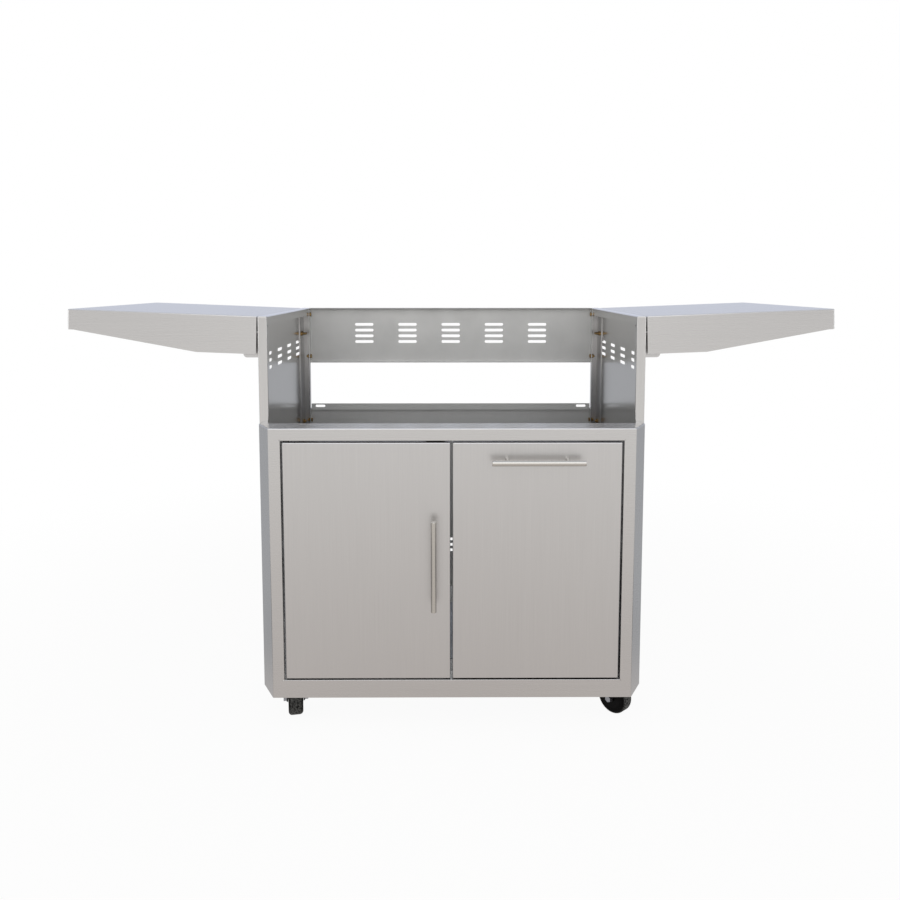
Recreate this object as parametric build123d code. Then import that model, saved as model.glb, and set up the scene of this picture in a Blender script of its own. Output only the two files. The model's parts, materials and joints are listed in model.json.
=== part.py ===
"""Stainless grill cart: an open grill bay over a cabinet with a door and a pull-out drawer,
folding side shelves and four swivel casters. Millimetres, +Z up, front towards -Y."""

import os

from build123d import *

os.makedirs("parts", exist_ok=True)

# Cart body
CART_HEIGHT = 914.0  # floor to the top of the side panels
CABINET_DEPTH = 624.0  # front face to the back
SIDE_WIDTH = 849.0  # across the two side panels
SKIRT_HEIGHT = 86.0  # floor to the lower edge of the cabinet
SHEET = 1.2  # sheet thickness
BEND = 2.5  # outside radius of a folded edge
SIDE_RETURN = 20.5  # width of the side panel's folded edges
LIP = 20.0  # width of the lips inside those edges
LIP_FOOT = 712.0  # height at which the front lip stops
PAN_RISE = 14.0  # base pan's top above the cabinet's lower edge
PAN_PLAY = 0.3  # base pan from the folds around it

# Front frame
FRAME_INSET = 2.5  # frame's sides inside the side panels' outer faces
CHAMFER_WIDTH = 32.0
LEDGE_HEIGHT = 680.0
LEDGE_DEPTH = 61.0
CHAMFER_DEPTH = 58.0
SIDE_SETBACK = 74.0  # front face to the side panels
LEDGE_LIP = 15.0
FRAME_FLANGE = 20.0
STILE = 25.0
TOP_RAIL = 26.5
BOTTOM_RAIL = 40.0
OPENING_RETURN = 40.0
RIM_ROUND = 0.96  # soft edge around the opening
RELIEF = 3.2  # slit in each corner of the opening
RELIEF_WIDTH = 0.9

# Door and drawer fronts
DOOR_GAP = 4.0
FOOT_GAP = 3.0  # below the door and the drawer front
CENTRE_GAP = 5.0
CENTRE_OFFSET = 1.8  # centre gap to the left of the cart's middle
DOOR_THICKNESS = 22.0
PIVOT_INSET = 8.0  # hinge axis from the door's edge and from its face
PIN_RADIUS = 3.0
PIN_REACH = 16.0  # pin length inside the door
PIN_HEAD_RADIUS = 6.0
PIN_HEAD = 2.0
BUSH_RADIUS = 5.0
BUSH_FLANGE_RADIUS = 7.0
BUSH_DEPTH = 13.0
TOP_PLAY = 0.3  # lift left above the door's upper bush
CATCH_WIDTH = 40.0
CATCH_DEPTH = 14.0
CATCH_HEIGHT = 16.0
CATCH_INSET = 12.0  # catch from the door's free edge
STRIKE = 1.5

# Bar handles
HANDLE_LENGTH = 196.0
HANDLE_RADIUS = 6.0
HANDLE_REACH = 38.0  # face to the front of the bar
HANDLE_SPACING = 128.0
POST_RADIUS = 4.5
POST_SEAT = 3.0  # depth of the post in the bar
HANDLE_END_ROUND = 1.0
DOOR_HANDLE_INSET = 35.3  # bar's centre from the door's free edge
DOOR_HANDLE_HEIGHT = 389.5
DRAWER_HANDLE_DROP = 37.5  # bar's centre below the drawer front's top
SCREW_RADIUS = 2.0
SCREW_HEAD_RADIUS = 4.0
SCREW_HEAD = 2.4
SCREW_GRIP = 8.0

# Vent slots
SLOT_LENGTH = 53.0
SLOT_HEIGHT = 8.0
ROW_PITCH = 16.5
REAR_GROUPS = 5
REAR_PITCH = 124.3
CROSSBAR_ROWS = 4
CROSSBAR_ROW_DROP = 47.5  # first row below the crossbar's top
SIDE_COLUMNS = 4
SIDE_PITCH = 117.0
SIDE_SLOT_START = 107.0  # first column's centre behind the side panel's front
SIDE_ROWS = 3
SIDE_ROW_DROP = 91.0  # first row below the side panel's top
BACK_ROWS = 3
BACK_ROW_HEIGHT = 233.4

# Rear cross members
CROSSBAR_HEIGHT = 156.0
BACK_TOP = 625.0
BACK_FOOT = 2.0  # back panel above the cabinet's lower edge
RAIL_TOP = 638.5
RAIL_FACE = 18.5
RAIL_STAND = 8.0  # rail's face in front of the back panel
RAIL_SLOT_LENGTH = 28.0
RAIL_SLOT_HEIGHT = 7.0
RAIL_SLOT_INSET = 27.8  # slot's centre from the side panel's lip
RAIL_SLOT_DROP = 7.0
ANGLE = 2.0  # thickness of posts and brackets
POST_LEG = 64.0
POST_BOTTOM = 575.0
LIP_HOLE_RADIUS = 2.5
LIP_HOLE_INSET = 12.0
LIP_HOLE_DROP = 22.0

# Bolts
BOLT_RADIUS = 3.0
BOLT_FLATS = 10.0
BOLT_HEAD = 4.0
NUT = 5.0
BOLT_TAIL = 3.0
HOLE_PLAY = 0.3
RUNNING_FIT = 0.05
SEAT_FIT = 0.02
BACK_BOLT_HEIGHTS = (180.0, 386.0, 591.0)
CROSSBAR_BOLT_INSET = 18.0
FRAME_BOLT_INSET = 12.0  # bolt's centre in front of the back
POST_BOLT_INSET = 35.0
POST_BOLT_HEIGHT = 591.0

# Side shelves
SHELF_LENGTH = 410.0
SHELF_DEPTH = 530.0
SHELF_SKIRT = 83.5  # skirt height at the cart
SHELF_TIP = 44.5  # skirt height at the outer end
SHELF_STRAIGHT = 130.0
SHELF_TIP_FLAT = 12.0
SHELF_INNER_LIP = 35.0
SHELF_GAP = 4.0  # level shelf's end to the side panel
SHELF_TILT = 2.2  # degrees, outer end up at rest
SHELF_SETTLE = 1.0  # pivot raised to bring the tilted edge level with the sides
HINGE_REACH = 26.0  # pivot from the side panel
HINGE_RISE = 12.0  # pivot above the skirt's lower edge
EAR_INSET = 10.0  # shelf ear behind the skirt's face
EAR_RADIUS = 10.0
EAR_LENGTH = 50.0
EAR_FLANGE = 18.0
SHELF_PIN_RADIUS = 4.0
SHELF_PIN_HEAD_RADIUS = 7.0
SHELF_PIN_HEAD = 3.0
SHELF_PIN_CLIP = 2.0
BRACKET_REACH = 34.5
BRACKET_DROP = 21.0  # bracket's foot below the pivot
BRACKET_RISE = 34.0  # bracket's top above the pivot
BRACKET_ROUND = 8.0
BRACKET_BASE = 40.0
BRACKET_BOLT_INSET = 8.0
BRACKET_BOLT_SPACING = 14.0
BRACKET_BOLT_TAIL = 10.0

# Drawer tray and slides
TRAY_LENGTH = 480.0
TRAY_WALL = 70.0
TRAY_LIFT = 1.0  # tray's floor above the drawer front's lower edge
GUSSET_HEIGHT = 390.0
GUSSET_LENGTH = 140.0
GUSSET_TOP = 20.0
SLIDE_MARGIN = 5.0  # bracket from the drawer front's edge
SLIDE_WIDTH = 12.5
SLIDE_SHEET = 1.5
SLIDE_HEIGHT = 45.0
SLIDE_RISE = 10.0  # slide above the tray's floor
SLIDE_STEP = 0.6  # side play between slide members
SLIDE_HEAD = 0.5  # play above each inner member
SLIDE_LENGTH = 470.0
SLIDE_START = 42.0  # slides behind the front face
SLIDE_BRACKET_FOOT = 28.0
SLIDE_BRACKET_CLEAR = 4.0  # bracket's ends from the caster plates

# Casters
WHEEL_RADIUS = 37.5
WHEEL_WIDTH = 33.0
TREAD_ROUND = 8.0
HUB_RADIUS = 24.0
HUB_BOSS = 0.5  # boss beyond the tyre on each side
BOSS_RADIUS = 10.0
FORK_SHEET = 3.0
FORK_GAP = 0.6  # boss to fork leg
FORK_EYE = 9.0
FORK_BACK = 17.0
FORK_FRONT = 12.0
TRAIL = 20.0
AXLE_RADIUS = 4.0
AXLE_FLATS = 13.0
AXLE_HEAD = 7.0
AXLE_NUT = 7.5
AXLE_TAIL = 5.0
PLATE = 2.5
PLATE_WIDTH = 64.0
RACE_RADIUS = 23.0
RACE = 5.0
CROWN_RADIUS = 21.0
CROWN = 8.0
KINGPIN_RADIUS = 5.0
KINGPIN_HEAD_RADIUS = 8.0
KINGPIN_HEAD = 2.5
PLATE_BOLT_SPACING = 48.0
CASTER_INSET = 61.5  # swivel axis from the side panel's outside
CASTER_FRONT = 112.5  # swivel axis behind the front face
CASTER_REAR = 112.0  # swivel axis in front of the back
CASTER_TURNS = {"front_left": 11.0, "front_right": 42.0, "rear_left": 0.0, "rear_right": -20.0}

CUT = 1.0  # overshoot of a cutting solid

# Positions that follow from the sizes above
FRONT = (HANDLE_REACH - CABINET_DEPTH) / 2
BACK = FRONT + CABINET_DEPTH
SIDE = SIDE_WIDTH / 2
SIDE_SKIN = SIDE - SHEET
SIDE_INNER = SIDE - SIDE_RETURN
SIDE_FRONT = FRONT + SIDE_SETBACK
FRAME_HALF = SIDE - FRAME_INSET
FACE_HALF = FRAME_HALF - CHAMFER_WIDTH
OPENING_HALF = FACE_HALF - STILE
OPENING_TOP = LEDGE_HEIGHT - TOP_RAIL
OPENING_FOOT = SKIRT_HEIGHT + BOTTOM_RAIL
LEAF_FOOT = OPENING_FOOT + FOOT_GAP
LEAF_TOP = OPENING_TOP - DOOR_GAP
DOOR_LEFT = DOOR_GAP - OPENING_HALF
DOOR_RIGHT = -CENTRE_OFFSET - CENTRE_GAP / 2
DRAWER_LEFT = DOOR_RIGHT + CENTRE_GAP
DRAWER_RIGHT = OPENING_HALF - DOOR_GAP
DRAWER_MID = (DRAWER_LEFT + DRAWER_RIGHT) / 2
LEAF_BACK = FRONT + DOOR_THICKNESS
PIVOT_X = DOOR_LEFT + PIVOT_INSET
PIVOT_Y = FRONT + PIVOT_INSET
PAN_TOP = SKIRT_HEIGHT + PAN_RISE
CROSSBAR_FOOT = CART_HEIGHT - CROSSBAR_HEIGHT
FRAME_BOLT_Y = BACK - FRAME_BOLT_INSET
HINGE_X = SIDE + HINGE_REACH
HINGE_DROP = SHELF_SKIRT - HINGE_RISE
HINGE_Z = CART_HEIGHT + SHELF_SETTLE - HINGE_DROP
SHELF_TOP = HINGE_Z + HINGE_DROP
SHELF_MID = SIDE_FRONT + SHELF_DEPTH / 2
EAR_Y = SIDE_FRONT + EAR_INSET
BRACKET_Y = EAR_Y + ANGLE
TRAY_FOOT = LEAF_FOOT + TRAY_LIFT
SLIDE_FOOT = TRAY_FOOT + SLIDE_RISE
SLIDE_X = DRAWER_LEFT + SLIDE_MARGIN + ANGLE
TRAY_LEFT = SLIDE_X + SLIDE_WIDTH
MOUNT_Z = PAN_TOP - SHEET
FORK_TOP = MOUNT_Z - PLATE - RACE - CROWN
FORK_HALF = WHEEL_WIDTH / 2 + HUB_BOSS + FORK_GAP
CASTER_X = SIDE - CASTER_INSET

MIRROR_X = Plane.YZ
MIRROR_SHELF = Plane.XZ.offset(-SHELF_MID)
MIRROR_DRAWER = Plane.YZ.offset(DRAWER_MID)


def block(x, y, z):
    """Box between two limits on each axis."""
    spans = (x, y, z)
    centre = [(low + high) / 2 for low, high in spans]
    size = [high - low for low, high in spans]
    return Pos(*centre) * Box(*size)


def rod(start, axis, radius, length):
    """Cylinder from a start point along an axis."""
    ends = (Align.CENTER, Align.CENTER, Align.MIN)
    return Plane(origin=start, z_dir=axis) * Cylinder(radius, length, align=ends)


def hexagon(start, axis, flats, length):
    """Hexagonal prism from a start point along an axis."""
    profile = RegularPolygon(flats / 2, 6, major_radius=False)
    return extrude(Plane(origin=start, z_dir=axis) * profile, length)


def slot(centre, along, normal, length, height):
    """Cutter for a round-ended slot through a sheet."""
    profile = Plane(origin=centre, x_dir=along, z_dir=normal) * SlotOverall(length, height)
    return extrude(profile, SHEET + CUT, both=True)


def step(start, axis, distance):
    """Point moved along an axis."""
    return tuple(s + a * distance for s, a in zip(start, axis))


def bolt(start, axis, grip, tail=BOLT_TAIL):
    """Hex bolt whose head seats at the start point and whose shank runs along the axis."""
    back = tuple(-a for a in axis)
    shank = rod(start, axis, BOLT_RADIUS, grip + NUT + tail)
    return shank + hexagon(start, back, BOLT_FLATS, BOLT_HEAD)


def nut(start, axis):
    """Hex nut that seats at the start point and stands out along the axis."""
    body = hexagon(start, axis, BOLT_FLATS, NUT)
    return body - rod(start, axis, BOLT_RADIUS + RUNNING_FIT, NUT)


def bolt_hole(start, axis, depth):
    """Cutter for a bolt's clearance hole, overshooting both ends."""
    return rod(step(start, axis, -CUT), axis, BOLT_RADIUS + HOLE_PLAY, depth + 2 * CUT)


def pan(x, y, z, open_side):
    """Folded sheet pan with round bends, open towards one side such as (1, 0, 0)."""
    outer = block(x, y, z)
    inner_spans = []
    for (low, high), way in zip((x, y, z), open_side):
        low_inset = -BEND if way < 0 else SHEET
        high_inset = -BEND if way > 0 else SHEET
        inner_spans.append((low + low_inset, high - high_inset))
    inner = block(*inner_spans)
    axis = Axis((0, 0, 0), open_side)
    outer = fillet(outer.edges() - outer.faces().sort_by(axis)[-1].edges(), BEND)
    inner = fillet(inner.edges() - inner.faces().sort_by(axis)[-1].edges(), BEND - SHEET)
    return outer - inner


def both_sides(piece):
    """A piece on the right and its mirror image on the left."""
    return [piece, mirror(piece, about=MIRROR_X)]


def four_corners(piece):
    """A piece at the right front hinge and its images at the other three."""
    pair = [piece, mirror(piece, about=MIRROR_SHELF)]
    return pair + [mirror(one, about=MIRROR_X) for one in pair]


def bracket_bolt_points():
    """Bolt centres of the right front bracket on the side panel's outside."""
    first = BRACKET_Y + ANGLE + BRACKET_BOLT_INSET
    return [(SIDE, first + i * BRACKET_BOLT_SPACING, HINGE_Z) for i in range(2)]


def right_bracket_bolt_points():
    """Bolt centres of both right brackets."""
    points = bracket_bolt_points()
    return points + [(x, 2 * SHELF_MID - y, z) for x, y, z in points]


def crossbar_bolt_heights():
    return (CROSSBAR_FOOT + CROSSBAR_BOLT_INSET, CART_HEIGHT - CROSSBAR_BOLT_INSET)


def frame_bolt_points():
    """Right-hand bolts through the rear lip, on the inside of the cross members."""
    heights = BACK_BOLT_HEIGHTS + crossbar_bolt_heights()
    return [(SIDE_INNER - SHEET, FRAME_BOLT_Y, z) for z in heights]


def post_bolt_points():
    """Right-hand bolts through the side panel and the rear post, on the outside."""
    return [(SIDE, BACK - POST_BOLT_INSET, POST_BOLT_HEIGHT)]


def frame_outline(rear):
    """Plan of the front frame: flat face, slanted corners and straight sides."""
    right = [(FACE_HALF, FRONT), (FRAME_HALF, FRONT + CHAMFER_DEPTH), (FRAME_HALF, rear)]
    left = [(-x, y) for x, y in reversed(right)]
    return make_face(Polyline(*left, *right, close=True))


def frame_bends(body, rear):
    """Edges of the front frame that are bent: the uprights and the top, except at the rear."""
    low = body.bounding_box().min.Z
    chosen = ShapeList()
    for edge in body.edges():
        middle = edge.center()
        if middle.Y < rear - BEND and middle.Z > low + BEND:
            chosen.append(edge)
    return chosen


def front_frame():
    outer = extrude(Pos(0, 0, SKIRT_HEIGHT) * frame_outline(SIDE_FRONT), LEDGE_HEIGHT - SKIRT_HEIGHT)
    outer = fillet(frame_bends(outer, SIDE_FRONT), BEND)
    rear = SIDE_FRONT + 2 * BEND
    plan = offset(frame_outline(rear), -SHEET)
    inner = extrude(Pos(0, 0, SKIRT_HEIGHT - CUT) * plan, LEDGE_HEIGHT - SKIRT_HEIGHT - SHEET + CUT)
    inner = fillet(frame_bends(inner, rear - SHEET), BEND - SHEET)
    body = outer - inner
    ledge_back = FRONT + LEDGE_DEPTH
    body -= block(
        (-SIDE_INNER, SIDE_INNER),
        (ledge_back, SIDE_FRONT + CUT),
        (LEDGE_HEIGHT - BEND, LEDGE_HEIGHT + CUT),
    )
    body += block(
        (-SIDE_INNER, SIDE_INNER),
        (ledge_back - SHEET, ledge_back),
        (LEDGE_HEIGHT - LEDGE_LIP, LEDGE_HEIGHT),
    )
    flange = frame_outline(SIDE_FRONT) - offset(frame_outline(SIDE_FRONT + 2 * FRAME_FLANGE), -FRAME_FLANGE)
    body += extrude(Pos(0, 0, SKIRT_HEIGHT) * flange, SHEET)
    opening_x = (-OPENING_HALF, OPENING_HALF)
    opening_z = (OPENING_FOOT, OPENING_TOP)
    ring = block(
        (-OPENING_HALF - SHEET, OPENING_HALF + SHEET),
        (FRONT, FRONT + OPENING_RETURN),
        (OPENING_FOOT - SHEET, OPENING_TOP + SHEET),
    )
    hole = block(opening_x, (FRONT - CUT, FRONT + OPENING_RETURN + CUT), opening_z)
    body = body + ring - hole
    for z, way in ((OPENING_FOOT, -1), (OPENING_TOP, 1)):
        body -= rod((PIVOT_X, PIVOT_Y, z - way * CUT), (0, 0, way), PIN_RADIUS + SEAT_FIT, SHEET + 2 * CUT)
    rim = [
        edge
        for edge in body.edges()
        if abs(edge.center().Y - FRONT) < SEAT_FIT
        and abs(edge.center().X) <= OPENING_HALF + SEAT_FIT
        and OPENING_FOOT - SEAT_FIT <= edge.center().Z <= OPENING_TOP + SEAT_FIT
    ]
    return fillet(rim, RIM_ROUND) - corner_reliefs()


def corner_reliefs():
    """Cutters for the slits that let the opening's edges fold at its corners."""
    slit = Box(2 * RELIEF, 2 * (SHEET + CUT), RELIEF_WIDTH)
    cuts = []
    for x in (-OPENING_HALF, OPENING_HALF):
        for z in (OPENING_FOOT, OPENING_TOP):
            lean = 45 if (x > 0) == (z == OPENING_FOOT) else -45
            cuts.append(Pos(x, FRONT, z) * Rot(0, lean, 0) * slit)
    return cuts


def side_panel():
    """Right side panel: one full-height sheet with folded edges, lips and vent slots."""
    outer = block((SIDE_INNER, SIDE), (SIDE_FRONT, BACK), (SKIRT_HEIGHT, CART_HEIGHT))
    inner = block(
        (SIDE_INNER + SHEET, SIDE_SKIN),
        (SIDE_FRONT + SHEET, BACK - SHEET),
        (SKIRT_HEIGHT + SHEET, CART_HEIGHT - SHEET),
    )
    body = fillet(outer.edges(), BEND) - fillet(inner.edges(), BEND - SHEET)
    window_x = (SIDE_INNER - CUT, SIDE_INNER + BEND)
    foot = SKIRT_HEIGHT + SHEET
    body -= block(window_x, (SIDE_FRONT + LIP, BACK - LIP), (foot, CART_HEIGHT - LIP))
    body -= block(window_x, (SIDE_FRONT + BEND, BACK - LIP), (foot, LIP_FOOT))
    cuts = []
    for column in range(SIDE_COLUMNS):
        y = SIDE_FRONT + SIDE_SLOT_START + column * SIDE_PITCH
        for row in range(SIDE_ROWS):
            z = CART_HEIGHT - SIDE_ROW_DROP - row * ROW_PITCH
            cuts.append(slot((SIDE, y, z), (0, 1, 0), (1, 0, 0), SLOT_LENGTH, SLOT_HEIGHT))
    for point in right_bracket_bolt_points() + post_bolt_points():
        cuts.append(bolt_hole(point, (-1, 0, 0), SHEET))
    for point in frame_bolt_points():
        cuts.append(bolt_hole(point, (1, 0, 0), 2 * SHEET))
    lip_hole = (SIDE_INNER - CUT, SIDE_FRONT + LIP_HOLE_INSET, CART_HEIGHT - LIP_HOLE_DROP)
    cuts.append(rod(lip_hole, (1, 0, 0), LIP_HOLE_RADIUS, SHEET + 2 * CUT))
    return body - cuts


def rear_slots(first_z, rows):
    """Cutters for the vent groups across the back."""
    cuts = []
    for group in range(REAR_GROUPS):
        x = (group - (REAR_GROUPS - 1) / 2) * REAR_PITCH
        for row in range(rows):
            centre = (x, BACK, first_z - row * ROW_PITCH)
            cuts.append(slot(centre, (1, 0, 0), (0, 1, 0), SLOT_LENGTH, SLOT_HEIGHT))
    return cuts


def rear_bolt_holes(heights):
    """Cutters for the frame bolts in both end flanges of a rear member."""
    right = [bolt_hole((SIDE_INNER - SHEET, FRAME_BOLT_Y, z), (1, 0, 0), SHEET) for z in heights]
    return right + [mirror(one, about=MIRROR_X) for one in right]


def rear_crossbar():
    body = pan(
        (-SIDE_INNER, SIDE_INNER),
        (BACK - LIP, BACK),
        (CROSSBAR_FOOT, CART_HEIGHT),
        (0, -1, 0),
    )
    cuts = rear_slots(CART_HEIGHT - CROSSBAR_ROW_DROP, CROSSBAR_ROWS)
    return body - cuts - rear_bolt_holes(crossbar_bolt_heights())


def back_panel():
    foot = SKIRT_HEIGHT + BACK_FOOT
    body = pan((-SIDE_INNER, SIDE_INNER), (BACK - LIP, BACK), (foot, BACK_TOP + LIP), (0, -1, 0))
    body -= block((-SIDE, SIDE), (BACK - LIP - CUT, BACK + CUT), (BACK_TOP, BACK_TOP + LIP + CUT))
    return body - rear_slots(BACK_ROW_HEIGHT, BACK_ROWS) - rear_bolt_holes(BACK_BOLT_HEIGHTS)


def rear_rail():
    """Narrow slotted strip in front of the back panel's upper edge."""
    half = SIDE_INNER - BEND
    back = BACK - SHEET
    face = back - RAIL_STAND - SHEET
    foot = RAIL_TOP - RAIL_FACE
    body = block((-half, half), (face, face + SHEET), (foot, RAIL_TOP))
    body += block((-half, half), (face, back), (foot, foot + SHEET))
    for x in (RAIL_SLOT_INSET - SIDE_INNER, SIDE_INNER - RAIL_SLOT_INSET):
        centre = (x, face, RAIL_TOP - RAIL_SLOT_DROP)
        body -= slot(centre, (1, 0, 0), (0, 1, 0), RAIL_SLOT_LENGTH, RAIL_SLOT_HEIGHT)
    return body


def rear_post():
    """Right rear post: an angle against the side panel and its rear return."""
    back = BACK - SHEET
    front = back - POST_LEG
    z = (POST_BOTTOM, CART_HEIGHT - LIP)
    body = block((SIDE_SKIN - ANGLE, SIDE_SKIN), (front, back), z)
    body += block((SIDE_INNER + BEND, SIDE_SKIN), (back - ANGLE, back), z)
    corner = [
        edge
        for edge in body.edges().filter_by(Axis.Z)
        if abs(edge.center().X - SIDE_SKIN) < SEAT_FIT and abs(edge.center().Y - back) < SEAT_FIT
    ]
    body = fillet(corner, BEND)
    for point in right_bracket_bolt_points() + post_bolt_points():
        body -= bolt_hole(point, (-1, 0, 0), SHEET + ANGLE)
    return body


def base_pan():
    half = SIDE_SKIN - BEND
    y = (SIDE_FRONT + BEND + PAN_PLAY, BACK - LIP - PAN_PLAY)
    body = pan((-half, half), y, (SKIRT_HEIGHT + SHEET, PAN_TOP), (0, 0, -1))
    for x, y in caster_points().values():
        for point in plate_bolt_points(x, y):
            body -= bolt_hole(step(point, (0, 0, 1), PLATE), (0, 0, 1), SHEET)
    return body


def shelf_bracket():
    """Right front shelf bracket: an ear across the cart and a base on the side panel."""
    profile = Polyline(
        (SIDE, HINGE_Z - BRACKET_DROP),
        (SIDE + BRACKET_REACH, HINGE_Z - BRACKET_DROP),
        (SIDE + BRACKET_REACH, HINGE_Z + EAR_RADIUS),
        (SIDE + EAR_RADIUS, HINGE_Z + BRACKET_RISE),
        (SIDE, HINGE_Z + BRACKET_RISE),
        close=True,
    )
    face = Plane.XZ.offset(-BRACKET_Y - ANGLE) * make_face(profile)
    ear = extrude(face, ANGLE)
    foot = ear.edges().filter_by(Axis.Y).sort_by(lambda e: e.center().X - e.center().Z)[-1]
    ear = fillet(foot, BRACKET_ROUND)
    base = block(
        (SIDE, SIDE + ANGLE),
        (BRACKET_Y, BRACKET_Y + ANGLE + BRACKET_BASE),
        (HINGE_Z - BRACKET_DROP, HINGE_Z + BRACKET_RISE),
    )
    body = ear + base
    body -= rod(
        (HINGE_X, BRACKET_Y - CUT, HINGE_Z), (0, 1, 0), SHELF_PIN_RADIUS + RUNNING_FIT, ANGLE + 2 * CUT
    )
    for point in bracket_bolt_points():
        body -= bolt_hole(step(point, (1, 0, 0), ANGLE), (-1, 0, 0), ANGLE)
    return body


def bracket_bolts():
    """Bolts and nuts of the four shelf brackets; the rear ones also hold the posts."""
    bolts = []
    nuts = []
    front = bracket_bolt_points()
    for point in right_bracket_bolt_points():
        backing = 0 if point in front else ANGLE
        grip = ANGLE + SHEET + backing
        bolts += both_sides(bolt(step(point, (1, 0, 0), ANGLE), (-1, 0, 0), grip, BRACKET_BOLT_TAIL))
        nuts += both_sides(nut(step(point, (-1, 0, 0), SHEET + backing), (-1, 0, 0)))
    return bolts, nuts


def frame_bolts():
    """Bolts and nuts of the crossbar, the back panel and the posts."""
    bolts = []
    nuts = []
    for point in frame_bolt_points():
        bolts += both_sides(bolt(point, (1, 0, 0), 2 * SHEET))
        nuts += both_sides(nut(step(point, (1, 0, 0), 2 * SHEET), (1, 0, 0)))
    for point in post_bolt_points():
        bolts += both_sides(bolt(point, (-1, 0, 0), SHEET + ANGLE))
        nuts += both_sides(nut(step(point, (-1, 0, 0), SHEET + ANGLE), (-1, 0, 0)))
    return bolts, nuts


def leaf(left, right):
    """Folded front skin and flat inner liner of a door or drawer front."""
    skin = pan((left, right), (FRONT, LEAF_BACK), (LEAF_FOOT, LEAF_TOP), (0, 1, 0))
    liner = block(
        (left + SHEET, right - SHEET),
        (LEAF_BACK - SHEET, LEAF_BACK),
        (LEAF_FOOT + SHEET, LEAF_TOP - SHEET),
    )
    corners = liner.edges().filter_by(Axis.Y)
    return skin, fillet(corners, BEND - SHEET)


def handle_bar():
    """Handle bar along X in front of a face at Y = 0, with blind seats for its posts."""
    y = HANDLE_RADIUS - HANDLE_REACH
    bar = rod((-HANDLE_LENGTH / 2, y, 0), (1, 0, 0), HANDLE_RADIUS, HANDLE_LENGTH)
    ends = bar.edges().filter_by(GeomType.CIRCLE)
    bar = fillet(ends, HANDLE_END_ROUND)
    for x in (-HANDLE_SPACING / 2, HANDLE_SPACING / 2):
        seat = (x, y + HANDLE_RADIUS - POST_SEAT, 0)
        bar -= rod(seat, (0, 1, 0), POST_RADIUS + SEAT_FIT, HANDLE_RADIUS)
    return bar


def handle_posts():
    posts = []
    tip = 2 * HANDLE_RADIUS - HANDLE_REACH - POST_SEAT
    for x in (-HANDLE_SPACING / 2, HANDLE_SPACING / 2):
        post = rod((x, tip, 0), (0, 1, 0), POST_RADIUS, -tip)
        posts.append(post - rod((x, -SCREW_GRIP, 0), (0, 1, 0), SCREW_RADIUS + RUNNING_FIT, SCREW_GRIP))
    return posts


def handle_screws():
    screws = []
    for x in (-HANDLE_SPACING / 2, HANDLE_SPACING / 2):
        screw = rod((x, -SCREW_GRIP, 0), (0, 1, 0), SCREW_RADIUS, SCREW_GRIP + SHEET)
        screws.append(screw + rod((x, SHEET, 0), (0, 1, 0), SCREW_HEAD_RADIUS, SCREW_HEAD))
    return screws


def handle_holes():
    spots = (-HANDLE_SPACING / 2, HANDLE_SPACING / 2)
    radius = SCREW_RADIUS + HOLE_PLAY
    return [rod((x, -CUT, 0), (0, 1, 0), radius, SHEET + 2 * CUT) for x in spots]


DOOR_HANDLE = Pos(DOOR_RIGHT - DOOR_HANDLE_INSET, FRONT, DOOR_HANDLE_HEIGHT) * Rot(0, 90, 0)
DRAWER_HANDLE = Pos(DRAWER_MID, FRONT, LEAF_TOP - DRAWER_HANDLE_DROP)


def placed(location, pieces):
    return [location * piece for piece in pieces]


def hinge_ends():
    """Frame edge, leaf edge, direction into the door and bush flange for each end of the door."""
    return (
        (OPENING_FOOT, LEAF_FOOT, 1, FOOT_GAP),
        (OPENING_TOP, LEAF_TOP, -1, DOOR_GAP - TOP_PLAY),
    )


def door_skin_and_liner():
    skin, liner = leaf(DOOR_LEFT, DOOR_RIGHT)
    skin -= placed(DOOR_HANDLE, handle_holes())
    for _, edge, way, _ in hinge_ends():
        start = (PIVOT_X, PIVOT_Y, edge - way * CUT)
        skin -= rod(start, (0, 0, way), BUSH_RADIUS + SEAT_FIT, SHEET + 2 * CUT)
    return skin, liner


def door_pins():
    """Pins fixed in the front frame, standing into the door's bushes."""
    pins = []
    for frame, edge, way, _ in hinge_ends():
        length = SHEET + abs(edge - frame) + PIN_REACH
        start = (PIVOT_X, PIVOT_Y, frame - way * SHEET)
        pin = rod(start, (0, 0, way), PIN_RADIUS, length)
        pins.append(pin + rod(start, (0, 0, -way), PIN_HEAD_RADIUS, PIN_HEAD))
    return pins


def door_bushes():
    bushes = []
    for _, edge, way, flange in hinge_ends():
        start = (PIVOT_X, PIVOT_Y, edge)
        bush = rod(start, (0, 0, way), BUSH_RADIUS, BUSH_DEPTH)
        bush += rod(start, (0, 0, -way), BUSH_FLANGE_RADIUS, flange)
        bore = (PIVOT_X, PIVOT_Y, edge - way * (flange + CUT))
        length = flange + BUSH_DEPTH + 2 * CUT
        bushes.append(bush - rod(bore, (0, 0, way), PIN_RADIUS + RUNNING_FIT, length))
    return bushes


def catch_span():
    right = DOOR_RIGHT - CATCH_INSET
    return (right - CATCH_WIDTH, right)


def door_strike():
    low = OPENING_TOP - CATCH_HEIGHT
    return block(catch_span(), (LEAF_BACK, LEAF_BACK + STRIKE), (low, LEAF_TOP - SHEET))


def door_catch():
    front = LEAF_BACK + STRIKE
    return block(catch_span(), (front, front + CATCH_DEPTH), (OPENING_TOP - CATCH_HEIGHT, OPENING_TOP))


def drawer_skin_and_liner():
    skin, liner = leaf(DRAWER_LEFT, DRAWER_RIGHT)
    return skin - placed(DRAWER_HANDLE, handle_holes()), liner


def drawer_tray():
    right = 2 * DRAWER_MID - TRAY_LEFT
    y = (LEAF_BACK, LEAF_BACK + TRAY_LENGTH)
    return pan((TRAY_LEFT, right), y, (TRAY_FOOT, TRAY_FOOT + TRAY_WALL), (0, 0, 1))


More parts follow.
